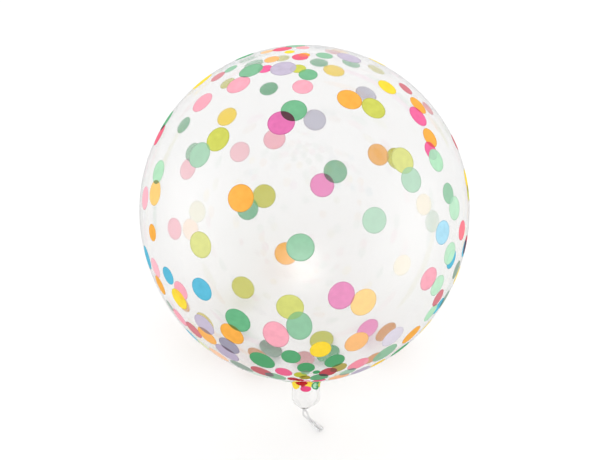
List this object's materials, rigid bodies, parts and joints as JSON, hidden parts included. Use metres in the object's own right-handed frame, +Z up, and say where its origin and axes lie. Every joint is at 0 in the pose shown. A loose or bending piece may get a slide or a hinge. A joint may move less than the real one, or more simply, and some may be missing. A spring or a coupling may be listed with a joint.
{
  "type": "polka dot bubble balloon",
  "caption": "Clear round bubble balloon printed with bright polka dots, its short neck gathered and twisted into a thin tail, lying on a small flat spot.",
  "frame": {"origin": "middle of the small flat spot that the bulb rests on", "axes": "+Z up, away from the surface; the neck points down towards -Y, 48 degrees below the horizontal; +X to the right when the neck points at the viewer"},
  "size_m": [0.4, 0.4034, 0.4033],
  "materials": {
    "clear_film": "thin clear plastic film, very smooth and glossy, pleated at the neck",
    "ink_green": "printed ink, slightly see-through, under the film's gloss",
    "ink_mint": "printed ink, slightly see-through",
    "ink_lime": "printed ink, slightly see-through",
    "ink_yellow": "printed ink, slightly see-through",
    "ink_orange": "printed ink, slightly see-through",
    "ink_pink": "printed ink, slightly see-through",
    "ink_crimson": "printed ink, slightly see-through",
    "ink_magenta": "printed ink, slightly see-through",
    "ink_lavender": "printed ink, slightly see-through",
    "ink_blue": "printed ink, slightly see-through",
    "ink_sky": "printed ink, slightly see-through",
    "ink_overprint": "the darker ink where two dots overlap"
  },
  "bodies": {
    "root": {"balloon": "clear_film"}
  },
  "joints": []
}
